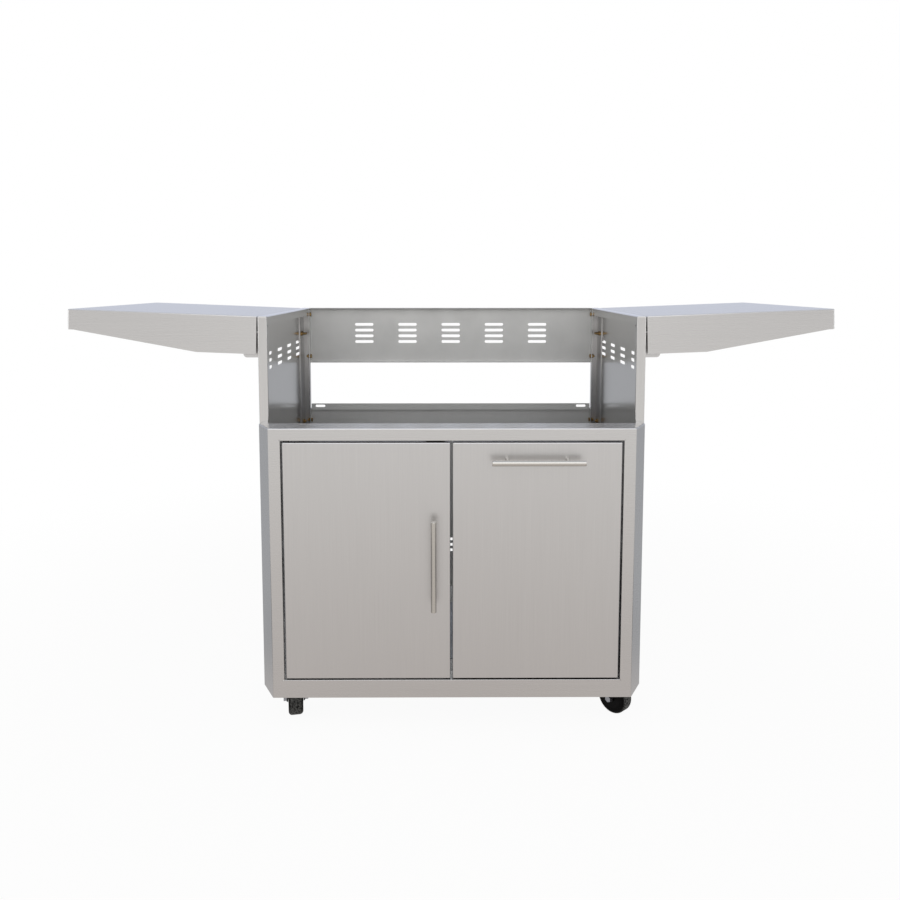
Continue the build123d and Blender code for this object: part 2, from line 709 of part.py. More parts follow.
def drawer_gusset():
    """Left gusset that braces the tall front against the tray."""
    low = TRAY_FOOT + BEND
    wall = LEAF_BACK + BEND
    y = LEAF_BACK + SHEET
    top = low + GUSSET_HEIGHT
    rim = TRAY_FOOT + TRAY_WALL
    profile = Polyline(
        (wall, low),
        (y + GUSSET_LENGTH, low),
        (y + GUSSET_LENGTH, rim),
        (LEAF_BACK + GUSSET_TOP, top),
        (LEAF_BACK, top),
        (LEAF_BACK, rim),
        (wall, rim),
        close=True,
    )
    return extrude(Plane.YZ.offset(TRAY_LEFT + SHEET) * make_face(profile), ANGLE)


def slide_channel(level, length):
    """Left slide member nested at a level: 0 on the cabinet, 1 between."""
    inset = SLIDE_SHEET * level
    x = SLIDE_X + level * (SLIDE_SHEET + SLIDE_STEP)
    right = SLIDE_X + SLIDE_WIDTH - (level + 1) * SLIDE_STEP
    y = (FRONT + SLIDE_START, FRONT + SLIDE_START + length)
    low = SLIDE_FOOT + inset
    high = SLIDE_FOOT + SLIDE_HEIGHT - inset - level * SLIDE_HEAD
    body = block((x, right), y, (low, high))
    hollow = block(
        (x + SLIDE_SHEET, right + CUT),
        (y[0] - CUT, y[1] + CUT),
        (low + SLIDE_SHEET, high - SLIDE_SHEET),
    )
    return body - hollow


def slide_bar():
    """Left slide member that is fixed to the tray."""
    x = SLIDE_X + 2 * (SLIDE_SHEET + SLIDE_STEP)
    low = SLIDE_FOOT + 2 * SLIDE_SHEET
    high = SLIDE_FOOT + SLIDE_HEIGHT - 2 * (SLIDE_SHEET + SLIDE_HEAD)
    y = (FRONT + SLIDE_START, FRONT + SLIDE_START + SLIDE_LENGTH)
    return block((x, TRAY_LEFT), y, (low, high))


def slide_bracket():
    """Left angle on the base pan that carries a slide."""
    plate = PLATE_WIDTH / 2 + SLIDE_BRACKET_CLEAR
    span = (FRONT + CASTER_FRONT + plate, BACK - CASTER_REAR - plate)
    wall = block((SLIDE_X - ANGLE, SLIDE_X), span, (PAN_TOP, SLIDE_FOOT + SLIDE_HEIGHT))
    return wall + block((SLIDE_X - SLIDE_BRACKET_FOOT, SLIDE_X), span, (PAN_TOP, PAN_TOP + ANGLE))


def slide_pair(piece):
    return [piece, mirror(piece, about=MIRROR_DRAWER)]


def shelf_tilted(piece):
    """A level right-hand shelf piece, turned up about the hinge to its place at rest."""
    return Pos(HINGE_X, 0, HINGE_Z) * Rot(0, -SHELF_TILT, 0) * Pos(-HINGE_X, 0, -HINGE_Z) * piece


def shelf_pan():
    """Right shelf: a folded top with skirts that taper to the outer end."""
    inner = SIDE + SHELF_GAP
    outer = inner + SHELF_LENGTH
    rear = SIDE_FRONT + SHELF_DEPTH
    profile = Polyline(
        (inner, SHELF_TOP),
        (inner, SHELF_TOP - SHELF_SKIRT),
        (inner + SHELF_STRAIGHT, SHELF_TOP - SHELF_SKIRT),
        (outer - SHELF_TIP_FLAT, SHELF_TOP - SHELF_TIP),
        (outer, SHELF_TOP - SHELF_TIP),
        (outer, SHELF_TOP),
        close=True,
    )
    body = extrude(Plane.XZ.offset(-rear) * make_face(profile), SHELF_DEPTH)
    top_edges = body.faces().sort_by(Axis.Z)[-1].edges()
    corners = body.edges().filter_by(Axis.Z).filter_by(lambda e: e.center().X > outer - SHEET)
    body = fillet(top_edges + corners, BEND)
    hollow = block(
        (inner + SHEET, outer - SHEET),
        (SIDE_FRONT + SHEET, rear - SHEET),
        (SHELF_TOP - SHELF_SKIRT - CUT, SHELF_TOP - SHEET),
    )
    upper = hollow.faces().sort_by(Axis.Z)[-1].edges()
    upright = hollow.edges().filter_by(Axis.Z).filter_by(lambda e: e.center().X > outer - BEND)
    body -= fillet(upper + upright, BEND - SHEET)
    return body - block(
        (inner - CUT, inner + BEND),
        (SIDE_FRONT + SHEET, rear - SHEET),
        (SHELF_TOP - SHELF_SKIRT - CUT, SHELF_TOP - SHELF_INNER_LIP),
    )


def shelf_ear():
    """Right front hinge ear under the shelf."""
    top = SHELF_TOP - SHEET
    left = HINGE_X - EAR_RADIUS
    right = HINGE_X + EAR_LENGTH
    profile = Polyline(
        (left, HINGE_Z),
        (left, top),
        (right, top),
        (right, top - EAR_FLANGE),
        (HINGE_X + EAR_RADIUS, HINGE_Z),
        close=True,
    )
    outline = make_face(profile) + Pos(HINGE_X, HINGE_Z) * Circle(EAR_RADIUS)
    ear = extrude(Plane.XZ.offset(-EAR_Y - ANGLE) * outline, ANGLE)
    ear += block((left, right), (EAR_Y, EAR_Y + EAR_FLANGE), (top - ANGLE, top))
    bore = (HINGE_X, EAR_Y - CUT, HINGE_Z)
    return ear - rod(bore, (0, 1, 0), SHELF_PIN_RADIUS + SEAT_FIT, ANGLE + 2 * CUT)


def shelf_pin():
    """Right front hinge pin with its head on the ear and its clip behind the bracket."""
    end = BRACKET_Y + ANGLE
    pin = rod((HINGE_X, EAR_Y, HINGE_Z), (0, 1, 0), SHELF_PIN_RADIUS, 2 * ANGLE)
    pin += rod((HINGE_X, EAR_Y, HINGE_Z), (0, -1, 0), SHELF_PIN_HEAD_RADIUS, SHELF_PIN_HEAD)
    return pin + rod((HINGE_X, end, HINGE_Z), (0, 1, 0), SHELF_PIN_HEAD_RADIUS, SHELF_PIN_CLIP)


def shelf_pair(piece):
    """Front and rear piece of the right shelf, tilted to rest."""
    return [shelf_tilted(one) for one in (piece, mirror(piece, about=MIRROR_SHELF))]


def caster_points():
    """Swivel axes of the four casters."""
    front = FRONT + CASTER_FRONT
    rear = BACK - CASTER_REAR
    return {
        "front_left": (-CASTER_X, front),
        "front_right": (CASTER_X, front),
        "rear_left": (-CASTER_X, rear),
        "rear_right": (CASTER_X, rear),
    }


def plate_bolt_points(x, y):
    """Bolt centres of one caster plate, on its underside."""
    half = PLATE_BOLT_SPACING / 2
    spots = [(-half, -half), (half, -half), (-half, half), (half, half)]
    return [(x + dx, y + dy, MOUNT_Z - PLATE) for dx, dy in spots]


def caster_plate(x, y):
    half = PLATE_WIDTH / 2
    plate = block((x - half, x + half), (y - half, y + half), (MOUNT_Z - PLATE, MOUNT_Z))
    plate = fillet(plate.edges().filter_by(Axis.Z), BEND)
    plate += rod((x, y, MOUNT_Z - PLATE), (0, 0, -1), RACE_RADIUS, RACE)
    for point in plate_bolt_points(x, y):
        plate -= bolt_hole(point, (0, 0, 1), PLATE)
    return plate - rod((x, y, MOUNT_Z), (0, 0, -1), KINGPIN_RADIUS + SEAT_FIT, PLATE + RACE + CUT)


def kingpin(x, y):
    low = FORK_TOP - FORK_SHEET
    pin = rod((x, y, low), (0, 0, 1), KINGPIN_RADIUS, MOUNT_Z - low)
    return pin + rod((x, y, low), (0, 0, -1), KINGPIN_HEAD_RADIUS, KINGPIN_HEAD)


def caster_fork():
    """Fork with its swivel axis on Z and its wheel towards -Y."""
    width = FORK_HALF + FORK_SHEET
    rear = FORK_BACK
    front = -TRAIL - FORK_FRONT
    low = FORK_TOP - FORK_SHEET
    profile = Polyline(
        (rear, FORK_TOP),
        (front, FORK_TOP),
        (-TRAIL - FORK_EYE, WHEEL_RADIUS),
        (-TRAIL + FORK_EYE, WHEEL_RADIUS),
        (rear, low),
        close=True,
    )
    outline = make_face(profile) + Pos(-TRAIL, WHEEL_RADIUS) * Circle(FORK_EYE)
    fork = extrude(Plane.YZ.offset(-width) * outline, 2 * width)
    between = (-FORK_HALF, FORK_HALF)
    fork -= block(between, (front - CUT, rear + CUT), (0, low))
    ridges = fork.edges().filter_by(Axis.Y)
    ridges = ridges.filter_by(lambda e: abs(e.center().X) > FORK_HALF and e.center().Z > low)
    fork = fillet(ridges, BEND)
    fork += rod((0, 0, low), (0, 0, 1), CROWN_RADIUS, FORK_SHEET + CROWN)
    fork -= rod((0, 0, low - CUT), (0, 0, 1), KINGPIN_RADIUS + RUNNING_FIT, FORK_SHEET + CROWN + 2 * CUT)
    eye = (-width - CUT, -TRAIL, WHEEL_RADIUS)
    return fork - rod(eye, (1, 0, 0), AXLE_RADIUS + SEAT_FIT, 2 * (width + CUT))


def caster_axle():
    """Axle bolt with its head on one fork leg and its nut on the other, as one clamped piece."""
    width = FORK_HALF + FORK_SHEET
    start = (-width, -TRAIL, WHEEL_RADIUS)
    axle = rod(start, (1, 0, 0), AXLE_RADIUS, 2 * width + AXLE_NUT + AXLE_TAIL)
    axle += hexagon(start, (-1, 0, 0), AXLE_FLATS, AXLE_HEAD)
    return axle + hexagon((width, -TRAIL, WHEEL_RADIUS), (1, 0, 0), AXLE_FLATS, AXLE_NUT)


def caster_hub():
    half = WHEEL_WIDTH / 2
    hub = rod((-half, -TRAIL, WHEEL_RADIUS), (1, 0, 0), HUB_RADIUS, WHEEL_WIDTH)
    end = half + HUB_BOSS
    hub += rod((-end, -TRAIL, WHEEL_RADIUS), (1, 0, 0), BOSS_RADIUS, 2 * end)
    bore = (-end - CUT, -TRAIL, WHEEL_RADIUS)
    return hub - rod(bore, (1, 0, 0), AXLE_RADIUS + RUNNING_FIT, 2 * (end + CUT))


def caster_tyre():
    start = (-WHEEL_WIDTH / 2, -TRAIL, WHEEL_RADIUS)
    tyre = rod(start, (1, 0, 0), WHEEL_RADIUS, WHEEL_WIDTH)
    tyre = fillet(tyre.edges().filter_by(GeomType.CIRCLE), TREAD_ROUND)
    bore = (start[0] - CUT, -TRAIL, WHEEL_RADIUS)
    return tyre - rod(bore, (1, 0, 0), HUB_RADIUS, WHEEL_WIDTH + 2 * CUT)


def casters():
    """Nodes of the four casters, each turned about its swivel axis."""
    nodes = {}
    kinds = {"fork": caster_fork(), "axle": caster_axle(), "hub": caster_hub(), "tyre": caster_tyre()}
    for corner, (x, y) in caster_points().items():
        place = Pos(x, y, 0) * Rot(0, 0, CASTER_TURNS[corner])
        for kind, piece in kinds.items():
            nodes[f"{corner}_{kind}"] = [place * piece]
    return nodes


def caster_mounting():
    """Plates, kingpins and bolts that fix the casters to the base pan."""
    plates = []
    pins = []
    bolts = []
    nuts = []
    for x, y in caster_points().values():
        plates.append(caster_plate(x, y))
        pins.append(kingpin(x, y))
        for point in plate_bolt_points(x, y):
            bolts.append(bolt(point, (0, 0, 1), PLATE + SHEET))
            nuts.append(nut(step(point, (0, 0, 1), PLATE + SHEET), (0, 0, 1)))
    return plates, pins, bolts, nuts


def mirrored(pieces):
    return [mirror(piece, about=MIRROR_X) for piece in pieces]


def cart():
    """Every node by name, each a list of solids."""
    door_skin, door_liner = door_skin_and_liner()
    drawer_skin, drawer_liner = drawer_skin_and_liner()
    shelf_bolts, shelf_nuts = bracket_bolts()
    body_bolts, body_nuts = frame_bolts()
    plates, pins, plate_bolts, plate_nuts = caster_mounting()
    brackets = four_corners(shelf_bracket())
    shelf = [shelf_tilted(shelf_pan())]
    ears = shelf_pair(shelf_ear())
    shelf_pins = shelf_pair(shelf_pin())
    side = side_panel()
    post = rear_post()
    nodes = {
        "front_frame": [front_frame()],
        "right_side_panel": [side],
        "left_side_panel": mirrored([side]),
        "rear_crossbar": [rear_crossbar()],
        "rear_rail": [rear_rail()],
        "back_panel": [back_panel()],
        "right_rear_post": [post],
        "left_rear_post": mirrored([post]),
        "base_pan": [base_pan()],
        "right_shelf_brackets": brackets[:2],
        "left_shelf_brackets": brackets[2:],
        "frame_bolts": shelf_bolts + body_bolts,
        "frame_nuts": shelf_nuts + body_nuts,
        "caster_plates": plates,
        "caster_kingpins": pins,
        "caster_bolts": plate_bolts,
        "caster_nuts": plate_nuts,
        "slide_brackets": slide_pair(slide_bracket()),
        "slide_outer": slide_pair(slide_channel(0, SLIDE_LENGTH)),
        "slide_middle": slide_pair(slide_channel(1, SLIDE_LENGTH)),
        "slide_inner": slide_pair(slide_bar()),
        "door_pins": door_pins(),
        "door_catch": [door_catch()],
        "door_skin": [door_skin],
        "door_liner": [door_liner],
        "door_bushes": door_bushes(),
        "door_strike": [door_strike()],
        "door_handle_bar": [DOOR_HANDLE * handle_bar()],
        "door_handle_posts": placed(DOOR_HANDLE, handle_posts()),
        "door_handle_screws": placed(DOOR_HANDLE, handle_screws()),
        "drawer_skin": [drawer_skin],
        "drawer_liner": [drawer_liner],
        "drawer_tray": [drawer_tray()],
        "drawer_gussets": slide_pair(drawer_gusset()),
        "drawer_handle_bar": [DRAWER_HANDLE * handle_bar()],
        "drawer_handle_posts": placed(DRAWER_HANDLE, handle_posts()),
        "drawer_handle_screws": placed(DRAWER_HANDLE, handle_screws()),
        "right_shelf_pan": shelf,
        "right_shelf_ears": ears,
        "right_shelf_pins": shelf_pins,
        "left_shelf_pan": mirrored(shelf),
        "left_shelf_ears": mirrored(ears),
        "left_shelf_pins": mirrored(shelf_pins),
    }
    nodes.update(casters())
    return nodes


for name, pieces in cart().items():
    solids = [solid for piece in pieces for solid in piece.solids()]
    export_step(Compound(children=solids), f"parts/{name}.step")
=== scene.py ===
"""Finishes and the studio for a stainless grill cart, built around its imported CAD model."""

import json
import math

import bmesh
import bpy
from bpy.props import FloatProperty, FloatVectorProperty, PointerProperty
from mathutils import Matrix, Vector

bl_info = {
    "name": "Grill cart finishes",
    "version": (1, 0, 0),
    "blender": (4, 5, 0),
    "location": "3D View > Sidebar > Grill cart",
    "description": "Brushed steel, zinc, rubber and nylon finishes for a grill cart, with its studio",
    "category": "Object",
}

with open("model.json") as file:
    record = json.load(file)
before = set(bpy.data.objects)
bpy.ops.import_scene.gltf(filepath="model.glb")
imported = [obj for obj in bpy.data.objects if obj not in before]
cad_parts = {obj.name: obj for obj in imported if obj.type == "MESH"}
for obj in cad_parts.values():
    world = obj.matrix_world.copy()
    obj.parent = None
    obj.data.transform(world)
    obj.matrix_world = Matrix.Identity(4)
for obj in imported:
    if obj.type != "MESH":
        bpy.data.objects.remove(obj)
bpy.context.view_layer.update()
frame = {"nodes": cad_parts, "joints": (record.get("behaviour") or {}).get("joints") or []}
MM = 0.001

# Brushed sheets by the direction in which the belt ran over them
SHEETS = {
    "X": ("front_frame", "left_shelf_pan", "right_shelf_pan"),
    "Y": ("drawer_tray",),
    "Z": (
        "door_skin", "door_liner", "drawer_skin", "drawer_liner", "drawer_gussets",
        "left_rear_post", "right_rear_post", "left_shelf_brackets", "right_shelf_brackets",
        "left_shelf_ears", "right_shelf_ears",
    ),
}
SIDE_PANELS = ("left_side_panel", "right_side_panel")
HAZY_SHEETS = ("rear_crossbar", "rear_rail")
CLEAR_SHEETS = ("back_panel", "base_pan")
RAW_EDGED = (
    "left_rear_post", "right_rear_post", "drawer_gussets", "rear_rail",
    "left_shelf_brackets", "right_shelf_brackets", "left_shelf_ears", "right_shelf_ears",
)
HANDLES = {"X": "drawer_handle", "Z": "door_handle"}
BOLTS = ("frame_bolts", "frame_nuts")
ZINC_FITTINGS = (
    "caster_plates", "caster_kingpins", "caster_bolts", "caster_nuts",
    "slide_brackets", "slide_outer", "slide_middle", "slide_inner",
    "door_pins", "door_strike", "door_handle_screws", "drawer_handle_screws",
    "left_shelf_pins", "right_shelf_pins",
)
CORNERS = ("front_left", "front_right", "rear_left", "rear_right")

# Roughness where a finish is dull and where it is clear
BRUSHED = {"X": (0.28, 0.26), "Y": (0.28, 0.26), "Z": (0.36, 0.34)}
BRUSHED_FINE = (0.2, 0.18)
MILL = (0.54, 0.44)
SATIN = (0.2, 0.16)
YELLOW_ZINC = (0.4, 0.24)
BRIGHT_ZINC = (0.38, 0.22)

# Metallic share of the mill finish; the rest scatters as a grey haze
HAZY = 0.4
CLEAR = 0.8

# Bands of belt pressure: length and width in belt lines, and their weight beside the lines
BAND_LENGTH = 6
BAND_WIDTH = 40
BAND_WEIGHT = 0.1

# Rings of the satin bars: width along the bar as drawn, and run across it
RING_WIDTH = 0.3 * MM
RING_RUN = 60 * MM

# Levels between which nearly all of a noise pattern lies, alone and with the bands added
NOISE_LOW, NOISE_HIGH = 0.3, 0.7
GRAIN_LOW, GRAIN_HIGH = 0.3, 0.8

# Noise levels at which specks begin and are full
SPARSE = (0.55, 0.75)
DUSTY = (0.4, 0.6)

# How far a tyre's surface faces along its axle where the tread ends and where the side begins
TREAD_END, SIDE_START = 0.3, 0.8

# How far a moulded skin is clearer and duller than its mean roughness
CLEARER, DULLER = 0.06, 0.08

BEVEL_ANGLE = math.radians(50)

# Studio floor, in metres from its middle
FLOOR_RADIUS = 30.0
SHADOW_REACH = (0.7, 2.4)
# Reach over which the mirrored floor's painted shadow by the cart fades to the far floor
PAINTED_SHADOW_REACH = (0.4, 3.2)
# Span behind the cart's middle over which painted shade darkens the mirrored floor
PAINTED_BACK_SHADE_REACH = (-0.45, 0.15)
# Middle and reach of the painted dark patch on each side of the mirrored floor
PAINTED_SIDE_SHADE_PLACE = (1.15, -0.4, 0)
PAINTED_SIDE_SHADE_REACH = (0.2, 0.75)
SHADOW_WHITE = 0.94  # share of the floor near the cart that stays white in its shadow

# Lamps in metres, strength of the even light from all round, sensor in millimetres
LAMP_TARGET = (0, 0, 0.5)
KEY_PLACE, KEY_SIZE = (0, -3.3, 2.7), 3.4
FILL_PLACE, FILL_SIZE = (2.8, -1.2, 1.3), 1.4
SOFT_LIGHT = 0.55
SENSOR_WIDTH = 36.0
WHITE = (1, 1, 1, 1)


def linear(code):
    """Linear colour of an sRGB hex value."""
    values = [int(code[i:i + 2], 16) / 255 for i in (1, 3, 5)]
    return tuple(v / 12.92 if v <= 0.04045 else ((v + 0.055) / 1.055) ** 2.4 for v in values)


def colour_property(name, code, description):
    return FloatVectorProperty(
        name=name, description=description, subtype="COLOR", size=3, min=0, max=1, default=linear(code)
    )


def length_property(name, millimetres, description):
    return FloatProperty(
        name=name, description=description, unit="LENGTH", min=0, default=millimetres * MM
    )


class GRILLCART_PG_finishes(bpy.types.PropertyGroup):
    """Colours and pattern sizes of the cart's materials."""

    stainless: colour_property("Stainless", "#CCCBCA", "Brushed sheet between the belt lines")
    stainless_shade: colour_property("Stainless shade", "#C2C1C0", "Brushed sheet in the belt lines")
    mill: colour_property("Mill finish", "#D4D4D2", "Unbrushed rear and inner sheets")
    mill_shade: colour_property("Mill finish shade", "#C7C7C5", "Rolling marks on those sheets")
    bar: colour_property("Handle bar", "#C4C1BB", "Satin bar of the handles")
    bar_shade: colour_property("Handle bar shade", "#BCB9B3", "Lathe lines of the handles")
    yellow_zinc: colour_property("Yellow zinc", "#B3925C", "Passivated bolts")
    yellow_zinc_bloom: colour_property("Yellow zinc bloom", "#7E6C50", "Duller bloom on the bolts")
    zinc: colour_property("Bright zinc", "#B4B7BC", "Plated fittings")
    zinc_shade: colour_property("Zinc shade", "#93979D", "Darker crystals of the plating")
    coating: colour_property("Fork coating", "#0A0A0B", "Black coating of the caster forks")
    rubber: colour_property("Tyre rubber", "#030303", "Black tyres")
    tread_dust: colour_property("Tread dust", "#646462", "Specks of dust on the tread")
    dust: colour_property("Dust", "#3A3A39", "Specks on coated and moulded parts")
    nylon: colour_property("Black nylon", "#151516", "Hinge bushes and catch")
    hub: colour_property("Hub nylon", "#050505", "Wheel hubs")
    line_width: length_property("Belt line width", 0.35, "Width of a brushed line as drawn")
    line_length: length_property("Belt line length", 180, "Length of a brushed line")
    wave: length_property("Sheet wave", 240, "Distance between the soft waves of the sheet")
    cloud: length_property("Mill cloud", 60, "Distance between the clouds of the mill finish")
    edge: length_property("Broken edge", 0.35, "Chamfer left where raw edges are broken")


class GRILLCART_PG_studio(bpy.types.PropertyGroup):
    """Camera, lamps and floor."""

    camera_place: FloatVectorProperty(
        name="Camera", description="Place of the camera", subtype="TRANSLATION", unit="LENGTH",
        default=(-0.0127, -1.9405, 0.9887),
    )
    camera_pitch: FloatProperty(
        name="Pitch", description="Camera's tilt below level", subtype="ANGLE", default=0.0907
    )
    camera_yaw: FloatProperty(
        name="Yaw", description="Camera's turn to the right", subtype="ANGLE", default=0.0047
    )
    lens: FloatProperty(name="Lens", description="Focal length", unit="CAMERA", default=31.6)
    rise: FloatProperty(name="Rise", description="Vertical lens shift", default=-0.1072)
    floor: colour_property("Floor", "#F1F0EE", "Pale studio floor")
    # Painted shadow: the floor as mirrored close to the cart is darker, as if in the cart's shadow
    floor_painted_shadow: colour_property("Floor by the cart", "#DDD6D2", "Floor as mirrored close by")
    floor_far: colour_property("Floor further off", "#FDFBF9", "Floor as mirrored further off")
    # Painted shade: the floor as mirrored behind the cart is darker
    floor_painted_back_shade: colour_property("Floor behind", "#BBBDC1", "Floor as mirrored behind the cart")
    # Painted shade: dark patches on the mirrored floor at the sides, which paint dark reflections along
    # the edges of the bars
    floor_painted_side_shade: colour_property("Floor at the sides", "#8F8F92", "Dim patches that edge the bars")
    front_wall: colour_property("Front wall", "#E9E7E7", "Surround behind the camera, as mirrored")
    side_wall: colour_property("Side walls", "#BABBBF", "Surround at the sides, as mirrored")
    back_wall: colour_property("Back wall", "#E2E7F6", "Surround behind the cart, as mirrored")
    ceiling: colour_property("Ceiling", "#EEF2FB", "Surround above, as mirrored")
    key_power: FloatProperty(
        name="Key lamp", description="Power of the lamp behind the camera", unit="POWER", default=35
    )
    fill_power: FloatProperty(
        name="Fill lamps", description="Power of each side lamp", unit="POWER", default=12
    )


def node(tree, kind, settings=None, inputs=None):
    """Adds a node, sets its properties, and fills or links its inputs."""
    new = tree.nodes.new(kind)
    for name, value in (settings or {}).items():
        setattr(new, name, value)
    for name, value in (inputs or {}).items():
        if isinstance(value, bpy.types.NodeSocket):
            tree.links.new(value, new.inputs[name])
        else:
            new.inputs[name].default_value = value
    return new


def blank_material(name):
    """New material and its emptied node tree."""
    material = bpy.data.materials.new(name)
    material.use_nodes = True
    material.node_tree.nodes.clear()
    return material, material.node_tree


def opaque(colour):
    return (*colour, 1.0)


def along_axis(axis, along, across):
    """Pattern frequencies from its period along one axis and across it."""
    return tuple(1 / (along if axis == name else across) for name in "XYZ")


def brushed_stainless(name, axis, finishes, roughness):
    """304 stainless sheet with a number 4 belt-brushed finish: soft blurred reflections, fine
    parallel lines along the belt and slow waves left by folding. Real lines are about 0.2 mm
    wide; they are drawn a little wider so that they show."""
    material, tree = blank_material(name)
    dull, clear = roughness
    place = node(tree, "ShaderNodeTexCoord").outputs["Object"]
    fine = node(tree, "ShaderNodeMapping", inputs={
        "Vector": place,
        "Scale": along_axis(axis, finishes.line_length, finishes.line_width)})
    lines = node(tree, "ShaderNodeTexNoise", inputs={
        "Vector": fine.outputs["Vector"], "Scale": 1.0, "Detail": 3.0, "Roughness": 0.65})
    broad = node(tree, "ShaderNodeMapping", inputs={
        "Vector": place,
        "Scale": along_axis(axis, BAND_LENGTH * finishes.line_length, BAND_WIDTH * finishes.line_width)})
    bands = node(tree, "ShaderNodeTexNoise", inputs={
        "Vector": broad.outputs["Vector"], "Scale": 1.0, "Detail": 2.0, "Roughness": 0.5})
    waves = node(tree, "ShaderNodeTexNoise", inputs={
        "Vector": place, "Scale": 1 / finishes.wave, "Detail": 1.0, "Roughness": 0.4})
    grain = node(tree, "ShaderNodeMath", {"operation": "MULTIPLY_ADD"}, {
        0: bands.outputs["Fac"], 1: BAND_WEIGHT, 2: lines.outputs["Fac"]})
    tone = node(tree, "ShaderNodeMapRange", inputs={
        "Value": grain.outputs["Value"], "From Min": GRAIN_LOW, "From Max": GRAIN_HIGH})
    colour = node(tree, "ShaderNodeMix", {"data_type": "RGBA"}, {
        "Factor": tone.outputs["Result"],
        "A": opaque(finishes.stainless_shade), "B": opaque(finishes.stainless)})
    rough = node(tree, "ShaderNodeMapRange", inputs={
        "Value": grain.outputs["Value"], "From Min": GRAIN_LOW, "From Max": GRAIN_HIGH,
        "To Min": dull, "To Max": clear})
    sheet = node(tree, "ShaderNodeBump", inputs={
        "Strength": 0.5, "Distance": 1 * MM, "Height": waves.outputs["Fac"]})
    brushed = node(tree, "ShaderNodeBump", inputs={
        "Strength": 0.012, "Distance": 0.02 * MM, "Height": lines.outputs["Fac"],
        "Normal": sheet.outputs["Normal"]})
    surface = node(tree, "ShaderNodeBsdfPrincipled", inputs={
        "Metallic": 1.0, "Base Color": colour.outputs["Result"],
        "Roughness": rough.outputs["Result"], "Normal": brushed.outputs["Normal"]})
    node(tree, "ShaderNodeOutputMaterial", inputs={"Surface": surface.outputs["BSDF"]})
    return material


def mill_stainless(name, finishes, metallic):
    """304 stainless sheet as it leaves the mill, finish 2B: a grey haze in place of clear
    reflections, faintly clouded by the rolls."""
    material, tree = blank_material(name)
    dull, clear = MILL
    place = node(tree, "ShaderNodeTexCoord").outputs["Object"]
    clouds = node(tree, "ShaderNodeTexNoise", inputs={
        "Vector": place, "Scale": 1 / finishes.cloud, "Detail": 4.0, "Roughness": 0.55})
    colour = node(tree, "ShaderNodeMix", {"data_type": "RGBA"}, {
        "Factor": clouds.outputs["Fac"], "A": opaque(finishes.mill_shade), "B": opaque(finishes.mill)})
    rough = node(tree, "ShaderNodeMapRange", inputs={
        "Value": clouds.outputs["Fac"], "From Min": NOISE_LOW, "From Max": NOISE_HIGH,
        "To Min": dull, "To Max": clear})
    surface = node(tree, "ShaderNodeBsdfPrincipled", inputs={
        "Metallic": metallic, "Base Color": colour.outputs["Result"],
        "Roughness": rough.outputs["Result"]})
    node(tree, "ShaderNodeOutputMaterial", inputs={"Surface": surface.outputs["BSDF"]})
    return material


def satin_bar(name, axis, finishes):
    """Stainless bar, turned and satin polished: bright streak along the bar, broken by fine
    rings round it. Real rings are about 0.1 mm apart; they are drawn wider so that they show."""
    material, tree = blank_material(name)
    dull, clear = SATIN
    place = node(tree, "ShaderNodeTexCoord").outputs["Object"]
    spun = node(tree, "ShaderNodeMapping", inputs={
        "Vector": place, "Scale": along_axis(axis, RING_WIDTH, RING_RUN)})
    rings = node(tree, "ShaderNodeTexNoise", inputs={
        "Vector": spun.outputs["Vector"], "Scale": 1.0, "Detail": 3.0, "Roughness": 0.6})
    colour = node(tree, "ShaderNodeMix", {"data_type": "RGBA"}, {
        "Factor": rings.outputs["Fac"], "A": opaque(finishes.bar_shade), "B": opaque(finishes.bar)})
    rough = node(tree, "ShaderNodeMapRange", inputs={
        "Value": rings.outputs["Fac"], "From Min": NOISE_LOW, "From Max": NOISE_HIGH,
        "To Min": dull, "To Max": clear})
    ringed = node(tree, "ShaderNodeBump", inputs={
        "Strength": 0.04, "Distance": 0.02 * MM, "Height": rings.outputs["Fac"]})
    surface = node(tree, "ShaderNodeBsdfPrincipled", inputs={
        "Metallic": 1.0, "Base Color": colour.outputs["Result"],
        "Roughness": rough.outputs["Result"], "Normal": ringed.outputs["Normal"]})
    node(tree, "ShaderNodeOutputMaterial", inputs={"Surface": surface.outputs["BSDF"]})
    return material


def plated_steel(name, bright, shade, crystal, roughness):
    """Electroplated zinc on steel: a cool or golden metallic skin, mottled by its crystals and by
    the passivation's uneven bloom."""
    material, tree = blank_material(name)
    dull, clear = roughness
    place = node(tree, "ShaderNodeTexCoord").outputs["Object"]
    bloom = node(tree, "ShaderNodeTexNoise", inputs={
        "Vector": place, "Scale": 1 / crystal, "Detail": 3.0, "Roughness": 0.6})
    colour = node(tree, "ShaderNodeMix", {"data_type": "RGBA"}, {
        "Factor": bloom.outputs["Fac"], "A": opaque(shade), "B": opaque(bright)})
    rough = node(tree, "ShaderNodeMapRange", inputs={
        "Value": bloom.outputs["Fac"], "From Min": NOISE_LOW, "From Max": NOISE_HIGH,
        "To Min": dull, "To Max": clear})
    skin = node(tree, "ShaderNodeBump", inputs={
        "Strength": 0.1, "Distance": 0.05 * MM, "Height": bloom.outputs["Fac"]})
    surface = node(tree, "ShaderNodeBsdfPrincipled", inputs={
        "Metallic": 1.0, "Base Color": colour.outputs["Result"],
        "Roughness": rough.outputs["Result"], "Normal": skin.outputs["Normal"]})
    node(tree, "ShaderNodeOutputMaterial", inputs={"Surface": surface.outputs["BSDF"]})
    return material


